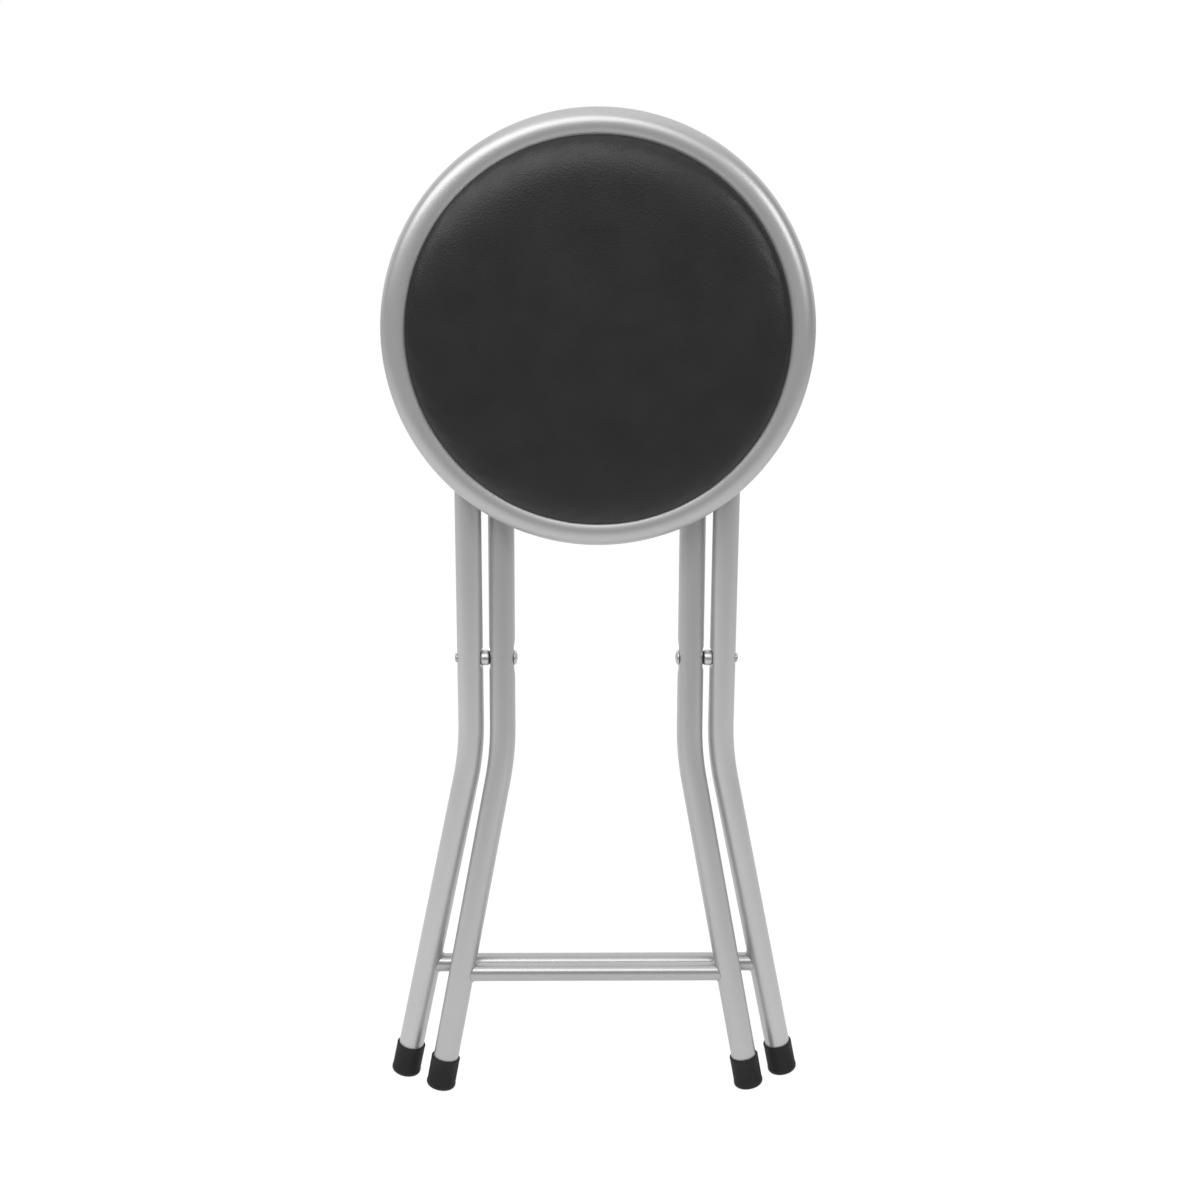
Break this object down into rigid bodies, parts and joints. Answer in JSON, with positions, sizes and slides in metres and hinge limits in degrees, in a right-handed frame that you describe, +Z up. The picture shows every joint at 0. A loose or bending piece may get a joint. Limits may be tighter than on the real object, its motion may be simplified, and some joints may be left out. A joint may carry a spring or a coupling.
{
  "type": "folding stool",
  "caption": "Folding stool with a round padded seat in a tube ring and two crossed, splayed tube frames.",
  "frame": {"origin": "on the floor, under the middle of the folded stool's box", "axes": "+Z up along the folded legs, -Y out of the face of the seat, +X to the right of someone facing the seat"},
  "size_m": [0.317, 0.0612, 0.7319],
  "materials": {
    "silver_paint": "satin silver powder coat",
    "bright_steel": "bright turned steel",
    "zinc_plate": "dull zinc plate",
    "black_rubber": "moulded black rubber",
    "black_plastic": "moulded black nylon",
    "black_vinyl": "fine-grained black vinyl",
    "seat_foam": "open foam",
    "fibreboard": "raw fibreboard"
  },
  "bodies": {
    "outer_frame": {"outer_leg_left": "silver_paint", "outer_leg_right": "silver_paint", "outer_crossbar": "silver_paint", "outer_foot_cap_left": "black_rubber", "outer_foot_cap_right": "black_rubber", "pivot_rivet_left": "bright_steel", "pivot_rivet_right": "bright_steel", "pivot_washer_left": "black_plastic", "pivot_washer_right": "black_plastic", "spacer_bush_left": "bright_steel", "spacer_bush_right": "bright_steel"},
    "inner_frame": {"inner_frame_tube": "silver_paint", "inner_crossbar": "silver_paint", "inner_foot_cap_left": "black_rubber", "inner_foot_cap_right": "black_rubber"},
    "seat": {"seat_ring": "silver_paint", "ring_tab_1": "silver_paint", "ring_tab_2": "silver_paint", "ring_tab_3": "silver_paint", "ring_tab_4": "silver_paint", "hinge_rivet_left": "bright_steel", "hinge_rivet_right": "bright_steel", "hinge_bracket_left": "zinc_plate", "hinge_bracket_right": "zinc_plate", "bracket_screw_left_1": "zinc_plate", "bracket_screw_left_2": "zinc_plate", "bracket_screw_right_1": "zinc_plate", "bracket_screw_right_2": "zinc_plate", "catch_screw_left_1": "zinc_plate", "catch_screw_left_2": "zinc_plate", "catch_screw_right_1": "zinc_plate", "catch_screw_right_2": "zinc_plate", "tab_screw_1": "zinc_plate", "tab_screw_2": "zinc_plate", "tab_screw_3": "zinc_plate", "tab_screw_4": "zinc_plate", "catch_left": "black_plastic", "catch_right": "black_plastic", "seat_cover": "black_vinyl", "seat_foam": "seat_foam", "seat_board": "fibreboard"}
  },
  "joints": [
    {"name": "frame_fold", "type": "hinge", "parent": "outer_frame", "child": "inner_frame", "pos_m": [0, 0.00778, 0.34219], "axis": [-1, 0, 0], "range_deg": [0, 56.1]},
    {"name": "seat_fold", "type": "hinge", "parent": "outer_frame", "child": "seat", "pos_m": [0, 0.00234, 0.5021], "axis": [-1, 0, 0], "range_deg": [0, 118.06]}
  ],
  "couplings": [
    {"joint": "seat_fold", "follows": "frame_fold", "ratio": 2.1043}
  ]
}
